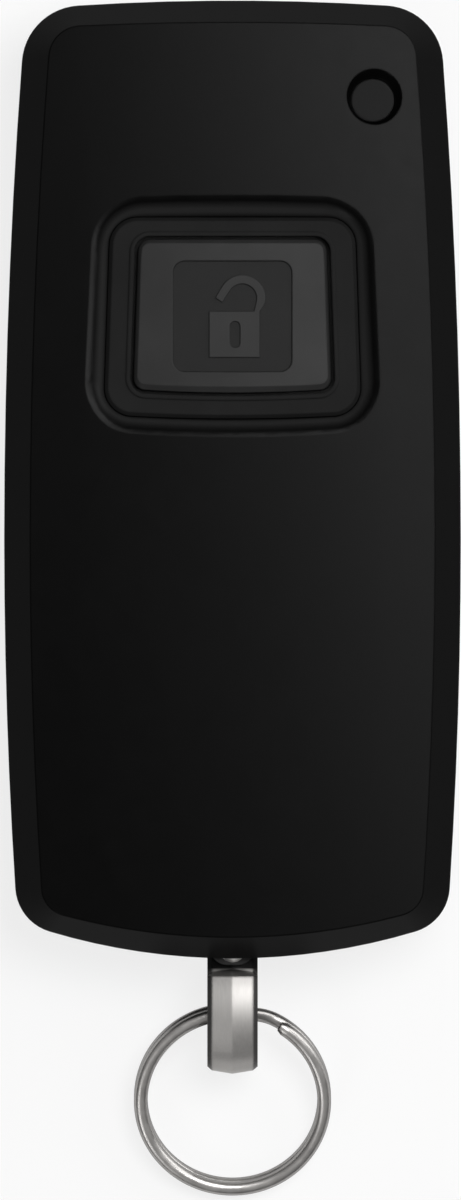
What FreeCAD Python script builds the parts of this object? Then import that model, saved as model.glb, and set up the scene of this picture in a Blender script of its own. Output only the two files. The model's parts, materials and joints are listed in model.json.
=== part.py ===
import FreeCAD, Part
import math
import os
from collections import namedtuple
from FreeCAD import Vector

# A slim sealed remote for a lock, lying on its back. Millimetres.
# The origin is the middle of the back face. +Z is out of the face with the button, +Y is towards
# the plain end, -Y towards the metal hanger and its split ring, and +X is to the right.

X, Y, Z = Vector(1, 0, 0), Vector(0, 1, 0), Vector(0, 0, 1)
origin = Vector(0, 0, 0)

# Outline of the body: four long arcs and four rounded corners
body_width = 38.0
body_length = 79.7
body_thickness = 14.0
widest_from_top = 44.9
upper_side_radius = 540.0
lower_side_radius = 455.0
top_end_radius = 200.0
bottom_end_radius = 53.0
top_corner_radius = 5.0
bottom_corner_radius = 4.0
least_corner_radius = 0.6

# Bevels round the face and round the back
face_bevel_side = 2.45
face_bevel_top = 1.9
face_bevel_bottom = 1.8
face_bevel_height = 2.8
face_corner_radius = 1.6
back_bevel = 2.0
back_bevel_height = 2.4
face_crown_radius = 470.0

# Shells
parting_height = 7.0
side_wall = 2.0
floor_wall = 1.6
face_wall = 1.8
end_block = 9.0
chamber_end_radius = 400.0
chamber_corner_radius = 1.6
tongue_width = 0.75
tongue_height = 1.2
seal_height = 0.8
seal_slack = 0.05
shell_gap = 0.05

# Push button: its opening in the bezel, from the button's middle outwards
button_from_top = 26.3
hole_above = 6.65
hole_below = 6.65
hole_half_top = 8.1
hole_half_bottom = 8.55
hole_corner = 1.3
hole_bow = 0.3
button_gap = 0.3
button_travel = 0.4
button_proud = 0.15
button_flange = 0.55
button_flange_height = 0.65
button_edge = 0.3
button_crown_radius = 130.0
button_rest_gap = 0.1
sunk_square_above = 4.6
sunk_square_below = 4.65
sunk_square_half = 4.95
sunk_square_corner = 1.0
sunk_square_depth = 0.3
sunk_square_bow = 0.02

# Bezel, wider than the opening by these amounts
bezel_above = 1.6
bezel_below = 1.9
bezel_side_top = 2.1
bezel_side_bottom = 2.2
bezel_corner = 2.4
bezel_bow = 0.35
bezel_drop = 0.2
bezel_edge = 0.3
bezel_lip_width = 0.35
bezel_lip_height = 0.12
bezel_flange = 0.9
bezel_flange_height = 1.0

# Dish: the slope from the bezel's foot out to the face, wider than the bezel by these amounts
dish_above = 1.35
dish_below = 0.65
dish_side_top = 0.8
dish_side_bottom = 1.65
dish_corner = 4.4
dish_bow = 0.3
dish_depth = 0.75
dish_rim_round = 1.8
dish_overshoot = 1.5

# Rubber hat under the button
membrane_sheet = 0.5
membrane_skirt = 0.9
membrane_rim = 1.2
membrane_nub_radius = 1.7

# Status window in the face's corner
window_from_side = 7.14
window_from_top = 8.0
window_recess_radius = 2.4
window_recess_foot_radius = 1.9
window_recess_depth = 0.75
window_lean_x = 0.22
window_lean_y = 0.37
window_seam_deg = 90
window_disc_radius = 1.8
window_flange_radius = 3.0
window_flange_height = 0.6
light_guide_radius = 1.4
light_guide_gap = 0.2
led_size = (3.0, 2.0, 0.9)

# Circuit board and the switch on it
board_bottom = 6.4
board_thickness = 1.0
board_margin = 0.6
switch_size = 6.0
switch_housing_height = 1.9
switch_cover_thickness = 0.2
switch_cheek_width = 2.4
switch_cheek_lift = 0.4
switch_floor = 0.5
terminal_spacing = 4.0
terminal_width = 0.7
terminal_length = 1.3
terminal_thickness = 0.2
terminal_height = 1.1
plunger_radius = 1.6
plunger_foot_radius = 2.1
plunger_foot_height = 0.5
plunger_top_gap = 0.05
slide_clearance = 0.06

# Wake-up coil, chips and aerial
coil_x = -4.0
coil_from_top = 8.3
coil_core_size = (11.0, 2.6, 2.2)
coil_winding_size = (7.6, 3.8, 3.4)
coil_lift = 0.6
coil_cheek = 1.2
control_chip_size = (6.0, 6.0, 0.9)
radio_chip_size = (4.0, 4.0, 0.8)
radio_chip_x = -6.5
radio_chip_above_cell = 4.0
crystal_size = (3.2, 2.5, 0.7)
crystal_gap = 1.5
small_chip_size = (1.6, 0.8, 0.6)
small_chip_pitch_x = 2.8
small_chip_pitch_y = 1.8
small_chip_columns = 3
small_chip_rows = 3
aerial_half_width = 12.0
aerial_half_length = 8.0
aerial_wire = 1.0
aerial_lift = 0.1
aerial_feed = 3.0

# Coin cell and its tray
cell_radius = 10.0
cell_height = 3.2
cell_cap_radius = 8.9
cell_cap_height = 0.4
cell_edge = 0.4
cell_cap_edge = 0.2
cell_from_bottom = 21.8
tray_floor = 0.6
tray_wall = 1.0
tray_clearance = 0.4
cell_clearance = 0.2
contact_thickness = 0.25
contact_width = 3.0
contact_half_length = 5.0
contact_foot = 2.0
contact_slot_margin = 0.3
contact_gap = 0.02

# Screws from the back
screw_radius = 1.0
screw_head_radius = 1.75
screw_head_height = 1.1
screw_length = 8.0
screw_recess = 0.3
screw_clearance = 0.15
screw_end_room = 0.4
pilot_clearance = 0.02
boss_radius = 2.3
upper_screw_from_side = 5.6
upper_screw_from_top = 14.4
lower_screw_from_side = 7.0
lower_screw_from_bottom = 6.4

# Hanger: a clevis in the end wall, an upright pin and a faceted eye
hanger_height = 6.0
pin_inside_edge = 0.7
pin_radius = 0.8
pin_head_radius = 1.12
pin_head_height = 0.5
pin_foot_height = 0.4
pin_fit = 0.04
ear_width = 3.7
ear_thickness = 0.8
ear_reach = 0.6
ear_corner = 1.4
ear_gap = 0.1
web_width = 11.0
web_thickness = 0.8
bracket_slack = 0.1
hanger_width = 4.2
hanger_reach = 9.74
neck_height = 3.8
neck_rear_gap = 0.35
shoulder_from_pin = 1.65
crown_start_from_pin = 2.2
crown_radius = 8.0
eye_end_radius = 3.6
eye_end_angle = 60.0
ridge_half_width = 1.72
ridge_rise = 0.28
eye_chamfer = 0.33
hanger_corner = 0.65
slot_side_gap = 0.65
eye_hole_radius = 2.25
eye_hole_from_pin = 5.93
eye_hole_drop = 0.2
eye_hole_edge = 0.3

# Split ring of two turns of flattened wire
ring_outer_radius = 8.25
wire_width = 1.15
wire_height = 1.05
wire_edge = 0.3
turn_gap = 0.1
cut_end_deg = 59.0
step_start_deg = 90.0
step_end_deg = 62.0
tail_gap_deg = 2.0
step_sections = 6
ring_in_hole_back = 0.65
ring_in_hole_down = 0.42

# How far a cutting body runs past the face that it cuts, and how close two levels count as one
past = 1.0
close = 0.01

# Places that follow from the sizes above
top_edge = body_length / 2
bottom_edge = -body_length / 2
widest_y = top_edge - widest_from_top
face_bevel_start = body_thickness - face_bevel_height
ceiling = body_thickness - face_wall
board_top = board_bottom + board_thickness
button_y = top_edge - button_from_top
dish_foot_height = body_thickness - dish_depth
bezel_top = body_thickness - bezel_drop
bezel_flange_bottom = ceiling - bezel_flange_height
cap_foot = bezel_flange_bottom + slide_clearance
ledge_height = cap_foot + button_flange_height + button_rest_gap
cap_top = body_thickness + button_proud
window_x = body_width / 2 - window_from_side
window_y = top_edge - window_from_top
window_floor = body_thickness - window_recess_depth
lens_x = window_x - window_lean_x
lens_y = window_y - window_lean_y
switch_top = board_top + switch_housing_height + switch_cover_thickness
plunger_top = bezel_flange_bottom - membrane_sheet - plunger_top_gap - button_travel
upper_screw = (body_width / 2 - upper_screw_from_side, top_edge - upper_screw_from_top)
lower_screw = (body_width / 2 - lower_screw_from_side, bottom_edge + lower_screw_from_bottom)
screw_seat = screw_recess + screw_head_height
cell_y = bottom_edge + cell_from_bottom
cell_bottom = floor_wall + tray_floor
cell_top = cell_bottom + cell_height
pin_y = bottom_edge + pin_inside_edge
hanger_far_y = bottom_edge - hanger_reach
neck_half = neck_height / 2
ear_inner = neck_half + ear_gap
ear_outer = ear_inner + ear_thickness
ear_tip = bottom_edge - ear_reach
web_front = pin_y + hanger_width / 2 + neck_rear_gap
web_back = web_front + web_thickness
eye_hole_y = pin_y - eye_hole_from_pin
eye_hole_z = hanger_height - eye_hole_drop
wire_middle_radius = ring_outer_radius - wire_width / 2
ring_half_height = wire_height + turn_gap / 2
ring_pivot_y = eye_hole_y + ring_in_hole_back
ring_pivot_z = eye_hole_z - ring_in_hole_down

# The button's opening, the bezel's foot and the dish's rim: rounded four-sided pads with a bowed
# lower side, each one larger than the one inside it
Pad = namedtuple("Pad", "above below half_top half_bottom corner bow")
button_hole = Pad(hole_above, hole_below, hole_half_top, hole_half_bottom, hole_corner, hole_bow)
dish_foot = Pad(hole_above + bezel_above, hole_below + bezel_below,
                hole_half_top + bezel_side_top, hole_half_bottom + bezel_side_bottom,
                bezel_corner, bezel_bow)
dish_rim = Pad(dish_foot.above + dish_above, dish_foot.below + dish_below,
               dish_foot.half_top + dish_side_top, dish_foot.half_bottom + dish_side_bottom,
               dish_corner, dish_bow)
sunk_square = Pad(sunk_square_above, sunk_square_below, sunk_square_half, sunk_square_half,
                  sunk_square_corner, sunk_square_bow)


def point(x, y, z=0.0):
    return Vector(x, y, z)


def mirrored(p):
    return Vector(-p.x, p.y, p.z)


def arc(start, middle, end):
    return Part.Arc(start, middle, end).toShape()


def line(start, end):
    return Part.LineSegment(start, end).toShape()


def slab(flat_wire, height):
    """Upright solid on a flat closed outline."""
    return Part.Face(flat_wire).extrude(Z * height)


def block(x0, x1, y0, y1, z0, z1):
    return Part.makeBox(x1 - x0, y1 - y0, z1 - z0, Vector(x0, y0, z0))


def post(x, y, z0, z1, radius):
    return Part.makeCylinder(radius, z1 - z0, Vector(x, y, z0), Z)


def edges_where(shape, keep):
    return [e for e in shape.Edges if keep(e.BoundBox)]


def both_sides(x, y):
    return [(x, y), (-x, y)]


def screw_places():
    return both_sides(*upper_screw) + both_sides(*lower_screw)


def circles_meet(centre_a, radius_a, centre_b, radius_b, towards):
    """The crossing of two circles that lies further along the given direction."""
    span = centre_b - centre_a
    distance = span.Length
    along = (distance ** 2 + radius_a ** 2 - radius_b ** 2) / (2 * distance)
    across = math.sqrt(radius_a ** 2 - along ** 2)
    direction = span / distance
    normal = Vector(-direction.y, direction.x, 0)
    base = centre_a + direction * along
    found = [base + normal * across, base - normal * across]
    return max(found, key=lambda p: p.dot(towards))


def arc_on(centre, radius, start, end):
    """The shorter arc of a circle between two of its points."""
    middle = centre + ((start - centre) + (end - centre)).normalize() * radius
    return arc(start, middle, end)


def corner(side_centre, side_radius, end_centre, end_radius, rounding, towards):
    """Centre and ends of a corner arc that runs smoothly into a side arc and an end arc."""
    centre = circles_meet(
        side_centre, side_radius - rounding, end_centre, end_radius - rounding, towards)
    on_side = side_centre + (centre - side_centre).normalize() * side_radius
    on_end = end_centre + (centre - end_centre).normalize() * end_radius
    return centre, on_side, on_end


def outline(z, side, top=None, bottom=None, corners=None, end_radius=bottom_end_radius):
    """The body's outline at a height, drawn in from each side by the given amounts."""
    top = side if top is None else top
    bottom = side if bottom is None else bottom
    inner_corners = [max(radius - side, least_corner_radius)
                     for radius in (top_corner_radius, bottom_corner_radius)]
    top_corner, bottom_corner = corners or inner_corners
    half = body_width / 2
    upper = upper_side_radius - side
    lower = lower_side_radius - side
    upper_centre = point(half - upper_side_radius, widest_y)
    lower_centre = point(half - lower_side_radius, widest_y)
    top_centre = point(0, top_edge - top_end_radius)
    bottom_centre = point(0, bottom_edge + end_radius)
    top_round, top_side, top_end = corner(
        upper_centre, upper, top_centre, top_end_radius - top, top_corner, X + Y)
    low_round, low_side, low_end = corner(
        lower_centre, lower, bottom_centre, end_radius - bottom, bottom_corner, X - Y)
    widest = point(half - side, widest_y)
    edges = [
        arc_on(upper_centre, upper, widest, top_side),
        arc_on(top_round, top_corner, top_side, top_end),
        arc(top_end, point(0, top_edge - top), mirrored(top_end)),
        arc_on(mirrored(top_round), top_corner, mirrored(top_end), mirrored(top_side)),
        arc_on(mirrored(upper_centre), upper, mirrored(top_side), mirrored(widest)),
        arc_on(mirrored(lower_centre), lower, mirrored(widest), mirrored(low_side)),
        arc_on(mirrored(low_round), bottom_corner, mirrored(low_side), mirrored(low_end)),
        arc(mirrored(low_end), point(0, bottom_edge + bottom), low_end),
        arc_on(low_round, bottom_corner, low_end, low_side),
        arc_on(lower_centre, lower, low_side, widest),
    ]
    wire = Part.Wire(edges)
    wire.translate(Z * z)
    return wire


def chamber(z, inset):
    """Outline inside the shells, which stops at the solid end block of the hanger."""
    corners = (max(top_corner_radius - inset, least_corner_radius), chamber_corner_radius)
    return outline(z, inset, bottom=end_block + inset - side_wall, corners=corners,
                   end_radius=chamber_end_radius)


def grown(pad, by):
    return Pad(pad.above + by, pad.below + by, pad.half_top + by, pad.half_bottom + by,
               pad.corner + by, pad.bow)


def between(low, high, share):
    return Pad(*[a + (b - a) * share for a, b in zip(low, high)])


def pad_wire(pad, z):
    low_left = point(-pad.half_bottom, button_y - pad.below + pad.bow)
    low_right = mirrored(low_left)
    top_right = point(pad.half_top, button_y + pad.above)
    top_left = mirrored(top_right)
    edges = [
        arc(low_left, point(0, button_y - pad.below), low_right),
        line(low_right, top_right),
        line(top_right, top_left),
        line(top_left, low_left),
    ]
    sharp = slab(Part.Wire(edges), past)
    uprights = edges_where(sharp, lambda b: b.ZLength > past / 2)
    soft = sharp.makeFillet(pad.corner, uprights)
    base = min(soft.Faces, key=lambda f: f.CenterOfMass.z)
    wire = base.OuterWire
    wire.translate(Z * z)
    return wire


def pad_slab(pad, z0, z1):
    return slab(pad_wire(pad, z0), z1 - z0)


def crowned_block(y0, y1, z0, top, radius):
    """Block as wide as the body whose upper face is a gentle arch from side to side."""
    half = body_width / 2 + past
    drop = radius - math.sqrt(radius ** 2 - half ** 2)
    low_left, low_right = Vector(-half, y0, z0), Vector(half, y0, z0)
    left, right = Vector(-half, y0, top - drop), Vector(half, y0, top - drop)
    wire = Part.Wire([
        line(low_left, low_right),
        line(low_right, right),
        arc(right, Vector(0, y0, top), left),
        line(left, low_left),
    ])
    return Part.Face(wire).extrude(Y * (y1 - y0))


def body_form():
    """The closed outer form: side wall, the two bevels and the crowned face."""
    wall = slab(outline(back_bevel_height, 0), face_bevel_start - back_bevel_height)
    beyond = (face_bevel_height + past) / face_bevel_height
    face_edge = outline(face_bevel_start + face_bevel_height * beyond, face_bevel_side * beyond,
                        face_bevel_top * beyond, face_bevel_bottom * beyond,
                        (face_corner_radius, face_corner_radius))
    front = Part.makeLoft([outline(face_bevel_start, 0), face_edge], True, True)
    back = Part.makeLoft([outline(0, back_bevel), outline(back_bevel_height, 0)], True, True)
    form = wall.fuse([front, back]).removeSplitter()
    return form.common(crowned_block(bottom_edge - past, top_edge + past, -past,
                                     body_thickness, face_crown_radius))


def front_half(form):
    return form.common(block(-body_width, body_width, -body_length, body_length,
                             parting_height, body_thickness + past))


def rear_half(form):
    return form.common(block(-body_width, body_width, -body_length, body_length,
                             -past, parting_height))


def hanger_pocket():
    """Room for the clevis and the swinging neck, cut from both shells."""
    half_throat = hanger_width / 2 + slot_side_gap
    throat_half = ear_outer + pin_head_height + bracket_slack
    throat = block(-half_throat, half_throat, bottom_edge - past, web_front + bracket_slack,
                   hanger_height - throat_half, hanger_height + throat_half)
    half_web = web_width / 2 + bracket_slack
    web_room = block(-half_web, half_web, web_front - bracket_slack, web_back + bracket_slack,
                     hanger_height - ear_outer - bracket_slack,
                     hanger_height + ear_outer + bracket_slack)
    return throat.fuse(web_room)


def dish():
    """The sunk slope round the bezel, drawn on beyond the face."""
    high = between(dish_foot, dish_rim, dish_overshoot)
    return Part.makeLoft(
        [pad_wire(dish_foot, dish_foot_height),
         pad_wire(high, dish_foot_height + dish_depth * dish_overshoot)], True, True)


def window_well():
    """Leaning recess over the lens, and the lens's hole under it. The seams are turned away from
    the side, where the cut comes out unsound."""
    turns = (window_seam_deg, window_seam_deg + 360)
    foot = Part.makeCircle(window_recess_foot_radius, Vector(lens_x, lens_y, window_floor), Z, *turns)
    rim = Part.makeCircle(window_recess_radius, Vector(window_x, window_y, body_thickness), Z, *turns)
    recess = Part.makeLoft([Part.Wire(foot), Part.Wire(rim)], True, True)
    hole = post(lens_x, lens_y, ceiling - past, window_floor + close, window_disc_radius + shell_gap)
    return recess.fuse(hole.rotated(Vector(lens_x, lens_y, 0), Z, window_seam_deg))


def front_cover(form):
    shell = front_half(form).cut(dish())
    half_wide = dish_rim.half_bottom + past
    rim = edges_where(shell, lambda b: b.ZMin > (dish_foot_height + body_thickness) / 2
                      and b.XMax < half_wide and b.XMin > -half_wide
                      and b.YMax < button_y + dish_rim.above + past
                      and b.YMin > button_y - dish_rim.below - past)
    shell = shell.makeFillet(dish_rim_round, rim)
    shell = shell.cut(slab(chamber(parting_height, side_wall), ceiling - parting_height))
    rabbet = slab(chamber(parting_height, side_wall - tongue_width - shell_gap),
                  tongue_height + seal_height)
    shell = shell.cut(rabbet)
    for x, y in both_sides(*upper_screw):
        shell = shell.fuse(post(x, y, board_bottom, ceiling, boss_radius))
    screw_end = screw_seat + screw_length
    for x, y in screw_places():
        shell = shell.cut(post(x, y, board_bottom - past, screw_end + screw_end_room,
                               screw_radius + pilot_clearance))
    shell = shell.cut(pad_slab(dish_foot, ceiling - past, body_thickness + past))
    shell = shell.cut(window_well())
    return shell.cut(hanger_pocket()).removeSplitter()


def rear_cover(form):
    shell = rear_half(form)
    tongue = slab(chamber(parting_height, side_wall - tongue_width), tongue_height)
    shell = shell.fuse(tongue)
    shell = shell.cut(slab(chamber(floor_wall, side_wall), parting_height))
    for x, y in both_sides(*upper_screw):
        shell = shell.fuse(post(x, y, floor_wall, board_bottom, boss_radius))
    for x, y in screw_places():
        shell = shell.cut(post(x, y, -past, screw_seat, screw_head_radius + screw_clearance))
        shell = shell.cut(post(x, y, 0, parting_height + past, screw_radius + screw_clearance))
    return shell.cut(hanger_pocket()).removeSplitter()


def case_seal():
    z = parting_height + tongue_height
    outer = slab(chamber(z, side_wall - tongue_width + seal_slack), seal_height)
    return outer.cut(slab(chamber(z, side_wall - seal_slack), seal_height))


def button_bezel():
    outer = grown(dish_foot, -shell_gap)
    edge_foot = bezel_top - bezel_edge
    bevel = Part.makeLoft([pad_wire(outer, edge_foot),
                           pad_wire(grown(outer, -bezel_edge), bezel_top)], True, True)
    ring = pad_slab(outer, ceiling, edge_foot).fuse(bevel)
    lip = pad_slab(grown(button_hole, bezel_lip_width), bezel_top, bezel_top + bezel_lip_height)
    flange = pad_slab(grown(outer, bezel_flange), bezel_flange_bottom, ceiling)
    ring = ring.fuse([lip, flange])
    ring = ring.cut(pad_slab(button_hole, bezel_flange_bottom - past, body_thickness + past))
    flange_room = grown(button_hole, button_flange)
    return ring.cut(pad_slab(flange_room, bezel_flange_bottom - past, ledge_height)).removeSplitter()


def button_cap():
    outer = grown(button_hole, -button_gap)
    cap = pad_slab(outer, cap_foot, cap_top + past)
    cap = cap.common(crowned_block(bottom_edge, top_edge, 0, cap_top, button_crown_radius))
    cap = cap.makeChamfer(button_edge, edges_where(cap, lambda b: b.ZMin > cap_top - past))
    flange = pad_slab(grown(outer, button_flange), cap_foot, cap_foot + button_flange_height)
    sunk = pad_slab(sunk_square, cap_top - sunk_square_depth, cap_top + past)
    return cap.fuse(flange).cut(sunk).removeSplitter()


def button_membrane():
    """Rubber hat over the switch, clamped between the board and the bezel."""
    outer = grown(button_hole, membrane_rim)
    hat = pad_slab(outer, board_top, bezel_flange_bottom)
    hollow = pad_slab(grown(outer, -membrane_skirt), board_top - past,
                      bezel_flange_bottom - membrane_sheet)
    nub = post(0, button_y, plunger_top + plunger_top_gap, bezel_flange_bottom - membrane_sheet / 2,
               membrane_nub_radius)
    return hat.cut(hollow).fuse(nub).removeSplitter()


def status_lens():
    disc = post(lens_x, lens_y, ceiling - window_flange_height / 2, window_floor,
                window_disc_radius)
    flange = post(lens_x, lens_y, ceiling - window_flange_height, ceiling, window_flange_radius)
    guide_foot = board_top + led_size[2] + light_guide_gap
    guide = post(lens_x, lens_y, guide_foot, ceiling, light_guide_radius)
    return disc.fuse([flange, guide]).removeSplitter()


def on_board(x, y, size, lift=0.0):
    """A block of the given size that stands on the board, centred on a point."""
    wide, deep, high = size
    return block(x - wide / 2, x + wide / 2, y - deep / 2, y + deep / 2,
                 board_top + lift, board_top + lift + high)


def circuit_board():
    board = slab(chamber(board_bottom, side_wall + board_margin), board_thickness)
    for x, y in both_sides(*upper_screw):
        board = board.cut(post(x, y, 0, body_thickness, boss_radius + shell_gap))
    return board


def switch_housing():
    body = on_board(0, button_y, (switch_size, switch_size, switch_housing_height))
    well = post(0, button_y, board_top + switch_floor, switch_top,
                plunger_foot_radius + slide_clearance)
    return body.cut(well)


def switch_cover():
    plate = on_board(0, button_y, (switch_size, switch_size, switch_cover_thickness),
                     switch_housing_height)
    cheek_x = (switch_size + switch_cover_thickness) / 2
    cheek_size = (switch_cover_thickness, switch_cheek_width,
                  switch_top - board_top - switch_cheek_lift)
    cheeks = [on_board(side * cheek_x, button_y, cheek_size, switch_cheek_lift)
              for side in (-1, 1)]
    hole = post(0, button_y, board_top, body_thickness, plunger_radius + slide_clearance)
    return plate.fuse(cheeks).cut(hole).removeSplitter()


def switch_terminals():
    legs = []
    for side in (-1, 1):
        root = button_y + side * switch_size / 2
        for x in (-terminal_spacing / 2, terminal_spacing / 2):
            foot = on_board(x, root + side * terminal_length / 2,
                            (terminal_width, terminal_length, terminal_thickness))
            riser = on_board(x, root + side * terminal_thickness / 2,
                             (terminal_width, terminal_thickness, terminal_height))
            legs.append(foot.fuse(riser).removeSplitter())
    return Part.makeCompound(legs)


def switch_plunger():
    foot_top = switch_top - switch_cover_thickness - slide_clearance
    foot = post(0, button_y, foot_top - plunger_foot_height, foot_top, plunger_foot_radius)
    stem = post(0, button_y, foot_top - plunger_foot_height, plunger_top, plunger_radius)
    return foot.fuse(stem).removeSplitter()


def coil_core():
    """Ferrite bar with a cheek at each end that stands on the board."""
    y = top_edge - coil_from_top
    bar = on_board(coil_x, y, coil_core_size, coil_lift)
    cheek_size = (coil_cheek, coil_winding_size[1], coil_winding_size[2])
    offset = (coil_core_size[0] + coil_cheek) / 2
    cheeks = [on_board(coil_x + side * offset, y, cheek_size) for side in (-1, 1)]
    return bar.fuse(cheeks).removeSplitter()


def coil_windings():
    y = top_edge - coil_from_top
    return on_board(coil_x, y, coil_winding_size).cut(on_board(coil_x, y, coil_core_size, coil_lift))


def control_chip_y():
    """Midway between the rubber hat and the aerial."""
    hat_end = button_y - button_hole.below - membrane_rim
    return (hat_end + cell_y + aerial_half_length) / 2


def chip_components():
    """Small resistors and capacitors in columns on both sides of the control chip."""
    parts = []
    for side in (-1, 1):
        for column in range(1, small_chip_columns + 1):
            for row in range(small_chip_rows):
                x = side * (control_chip_size[0] / 2 + small_chip_pitch_x * (column - 0.5))
                y = control_chip_y() + small_chip_pitch_y * (row - (small_chip_rows - 1) / 2)
                parts.append(on_board(x, y, small_chip_size))
    return Part.makeCompound(parts)


def crystal():
    y = (cell_y + radio_chip_above_cell - radio_chip_size[1] / 2 - crystal_gap
         - crystal_size[1] / 2)
    return on_board(radio_chip_x, y, crystal_size)


def loop_antenna():
    """Flat loop of wire over the cell's end of the board, open at its feed."""
    z0 = board_top + aerial_lift
    z1 = z0 + aerial_wire
    wide, long = aerial_half_width, aerial_half_length
    inner_wide, inner_long = wide - aerial_wire, long - aerial_wire
    loop = block(-wide, wide, cell_y - long, cell_y + long, z0, z1)
    loop = loop.cut(block(-inner_wide, inner_wide, cell_y - inner_long, cell_y + inner_long,
                          z0 - past, z1 + past))
    return loop.cut(block(-aerial_feed / 2, aerial_feed / 2, cell_y, cell_y + long + past,
                          z0 - past, z1 + past))


def coin_cell_can():
    can = post(0, cell_y, cell_bottom, cell_top - cell_cap_height, cell_radius)
    return can.makeChamfer(cell_edge, edges_where(can, lambda b: b.ZMax < cell_bottom + close))


def coin_cell_cap():
    cap = post(0, cell_y, cell_top - cell_cap_height, cell_top, cell_cap_radius)
    return cap.makeChamfer(cell_cap_edge, edges_where(cap, lambda b: b.ZMin > cell_top - close))


def battery_tray():
    """Open moulding with a wall all round, a floor and a ring for the cell."""
    outer_inset = side_wall + tray_clearance
    outer = slab(chamber(floor_wall, outer_inset), board_bottom - floor_wall)
    hollow = slab(chamber(cell_bottom, outer_inset + tray_wall), board_bottom)
    room = cell_radius + cell_clearance
    ring = post(0, cell_y, floor_wall, cell_top - cell_cap_height, room + tray_wall)
    tray = outer.cut(hollow).fuse(ring)
    tray = tray.cut(post(0, cell_y, cell_bottom, body_thickness, room))
    half_slot = contact_width / 2 + contact_slot_margin
    tray = tray.cut(block(cell_radius - past, cell_radius + contact_foot + contact_slot_margin,
                          cell_y - half_slot, cell_y + half_slot, cell_bottom, body_thickness))
    for x, y in both_sides(*upper_screw):
        tray = tray.cut(post(x, y, 0, body_thickness, boss_radius + tray_clearance))
    return tray.removeSplitter()


def battery_contact_negative():
    """Bowed strip from the board down to the middle of the cell."""
    half = contact_half_length
    lowest = cell_top + contact_thickness
    upper = [point(-half, 0, board_bottom), point(0, 0, lowest), point(half, 0, board_bottom)]
    under = [p - Z * contact_thickness for p in upper]
    wire = Part.Wire([
        arc(*upper),
        line(upper[2], under[2]),
        arc(*reversed(under)),
        line(under[0], upper[0]),
    ])
    strip = Part.Face(wire).extrude(Y * contact_width)
    strip.translate(point(0, cell_y - contact_width / 2))
    return strip


def battery_contact_positive():
    """Upright strip beside the can, with a foot under the board."""
    x0 = cell_radius + contact_gap
    y0, y1 = cell_y - contact_width / 2, cell_y + contact_width / 2
    upright = block(x0, x0 + contact_thickness, y0, y1, cell_bottom + contact_gap, board_bottom)
    foot = block(x0, x0 + contact_foot, y0, y1, board_bottom - contact_thickness, board_bottom)
    return upright.fuse(foot).removeSplitter()


def case_screws():
    screws = []
    for x, y in screw_places():
        head = post(x, y, screw_recess, screw_seat, screw_head_radius)
        shank = post(x, y, screw_seat, screw_seat + screw_length, screw_radius)
        screws.append(head.fuse(shank).removeSplitter())
    return Part.makeCompound(screws)


def hanger_bracket():
    """Steel clevis: a web held between the shells and two ears out of the end wall."""
    web = block(-web_width / 2, web_width / 2, web_front, web_back,
                hanger_height - ear_outer, hanger_height + ear_outer)
    ears = []
    for z0 in (hanger_height - ear_outer, hanger_height + ear_inner):
        ear = block(-ear_width / 2, ear_width / 2, ear_tip, web_back, z0, z0 + ear_thickness)
        tips = edges_where(ear, lambda b: b.YMax < ear_tip + close and b.ZLength > close)
        ears.append(ear.makeFillet(ear_corner, tips))
    window = block(-ear_width / 2, ear_width / 2, web_front - past, web_back + past,
                   hanger_height - ear_inner + ear_thickness,
                   hanger_height + ear_inner - ear_thickness)
    bracket = web.cut(window).fuse(ears)
    hole = post(0, pin_y, 0, body_thickness, pin_radius + pilot_clearance)
    return bracket.cut(hole).removeSplitter()


def hanger_pin():
    """Upright pin with a domed head above the upper ear and a flat one under the lower."""
    top = hanger_height + ear_outer
    low = hanger_height - ear_outer
    shaft = post(0, pin_y, low - pin_foot_height, top, pin_radius)
    foot = post(0, pin_y, low - pin_foot_height, low, pin_head_radius)
    dome_radius = (pin_head_radius ** 2 + pin_head_height ** 2) / (2 * pin_head_height)
    ball = Part.makeSphere(dome_radius, Vector(0, pin_y, top + pin_head_height - dome_radius))
    dome = ball.common(post(0, pin_y, top, top + dome_radius, dome_radius))
    return shaft.fuse([foot, dome]).removeSplitter()


def hanger_side(x, inset):
    """Side outline of the hanger: neck, steep shoulders, long crowned sides and a round end."""
    half = neck_half - inset
    angle = math.radians(eye_end_angle)
    end_centre = hanger_far_y + eye_end_radius
    step = crown_radius - eye_end_radius
    crown_centre = end_centre + step * math.cos(angle)
    crown_drop = step * math.sin(angle)
    crown = crown_radius - inset
    end = eye_end_radius - inset

    def place(y, height, side):
        return Vector(x, y, hanger_height + side * height)

    def on_crown(y, side):
        return place(y, math.sqrt(crown ** 2 - (y - crown_centre) ** 2) - crown_drop, side)

    def on_end(turn, side):
        return place(end_centre - end * math.cos(turn), end * math.sin(turn), side)

    def flank(side):
        """From the rear end of the neck to the far point of the eye."""
        shoulder = place(pin_y - shoulder_from_pin - inset, half, side)
        crown_start = on_crown(pin_y - crown_start_from_pin, side)
        crown_end = on_end(angle, side)
        middle = (crown_start.y + crown_end.y) / 2
        return [
            line(place(pin_y + hanger_width, half, side), shoulder),
            line(shoulder, crown_start),
            arc(crown_start, on_crown(middle, side), crown_end),
            arc(crown_end, on_end(angle / 2, side), on_end(0, side)),
        ]

    rear = line(place(pin_y + hanger_width, half, -1), place(pin_y + hanger_width, half, 1))
    return Part.Wire(Part.__sortEdges__([rear] + flank(1) + flank(-1)))


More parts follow.
